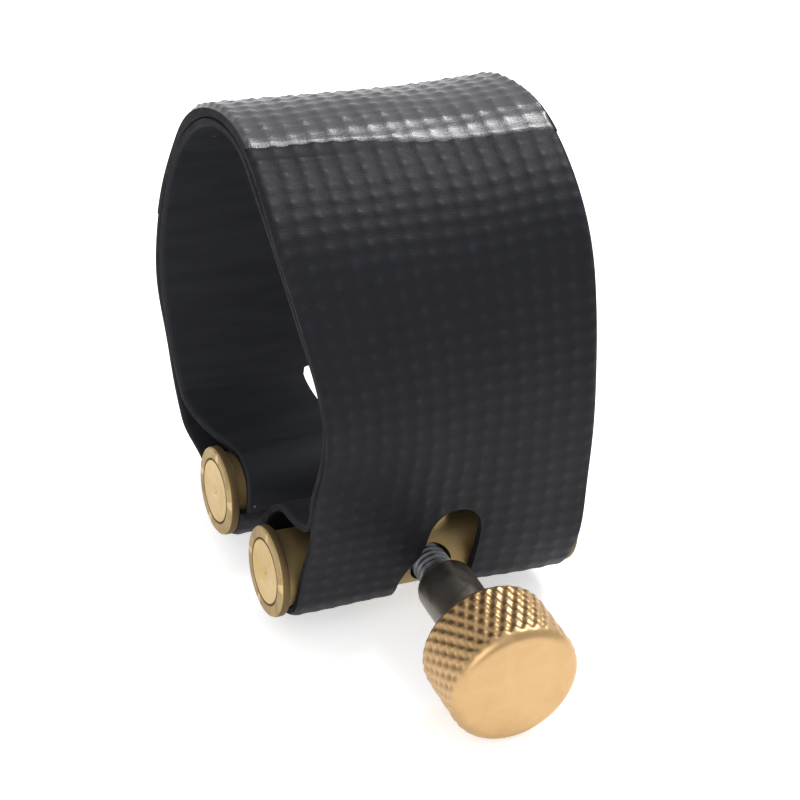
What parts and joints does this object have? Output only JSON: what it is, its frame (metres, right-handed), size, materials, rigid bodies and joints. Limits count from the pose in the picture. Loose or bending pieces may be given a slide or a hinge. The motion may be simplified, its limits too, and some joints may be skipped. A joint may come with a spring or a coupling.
{
  "type": "saxophone ligature",
  "caption": "Soft woven strap ligature that clamps a reed to a mouthpiece, closed by brass rods and a knurled thumbscrew.",
  "frame": {"origin": "centre of the mouthpiece bore, midway along the strap's width", "axes": "+X along the bore and the rods, -Y from the rods towards the screw's knob, +Z from the rods to the strap's crown"},
  "size_m": [0.0248, 0.0446, 0.0368],
  "materials": {
    "woven_cover": "coated weave",
    "lining": "matte",
    "rod_brass": "satin",
    "knob_brass": "satin, knurled edge",
    "sleeve_metal": "blackened",
    "stud_steel": "oiled"
  },
  "bodies": {
    "far_strap": {"strap_cover_far": "woven_cover", "strap_lining_far": "lining", "strap_overlay": "woven_cover"},
    "near_strap": {"strap_cover_near": "woven_cover", "strap_lining_near": "lining"},
    "far_bar": {"far_rod": "rod_brass", "far_rod_left_collar": "rod_brass", "far_rod_right_collar": "rod_brass"},
    "near_bar": {"near_rod": "rod_brass", "near_rod_left_collar": "rod_brass", "near_rod_right_collar": "rod_brass"},
    "spacer": {"spacer_sleeve": "sleeve_metal"},
    "thumbscrew": {"screw_stud": "stud_steel", "screw_knob": "knob_brass"}
  },
  "joints": [
    {"name": "screw_advance", "type": "slide", "parent": "far_bar", "child": "spacer", "axis": [0, 1, 0], "range_m": [-0.003, 0.0051]},
    {"name": "screw_turn", "type": "hinge", "parent": "spacer", "child": "thumbscrew", "pos_m": [0, -0.02, -0.0171], "axis": [0, 1, 0], "range_deg": [-2160, 3672]},
    {"name": "strap_flex", "type": "hinge", "parent": "far_strap", "child": "near_strap", "pos_m": [0, -0.0064, 0.01202], "axis": [1, 0, 0], "range_deg": [-3.46, 5.88]},
    {"name": "far_bar_swivel", "type": "hinge", "parent": "far_strap", "child": "far_bar", "pos_m": [0, -0.001, -0.0171], "axis": [1, 0, 0], "range_deg": [-1.73, 2.94]},
    {"name": "near_bar_swivel", "type": "hinge", "parent": "near_strap", "child": "near_bar", "pos_m": [0, -0.0118, -0.0171], "axis": [1, 0, 0], "range_deg": [-2.94, 1.73]}
  ],
  "couplings": [
    {"joint": "strap_flex", "follows": "screw_advance", "rad_per_m": 20.112},
    {"joint": "far_bar_swivel", "follows": "screw_advance", "rad_per_m": 10.056},
    {"joint": "near_bar_swivel", "follows": "screw_advance", "rad_per_m": -10.056},
    {"joint": "screw_turn", "follows": "screw_advance", "rad_per_m": 12566}
  ]
}
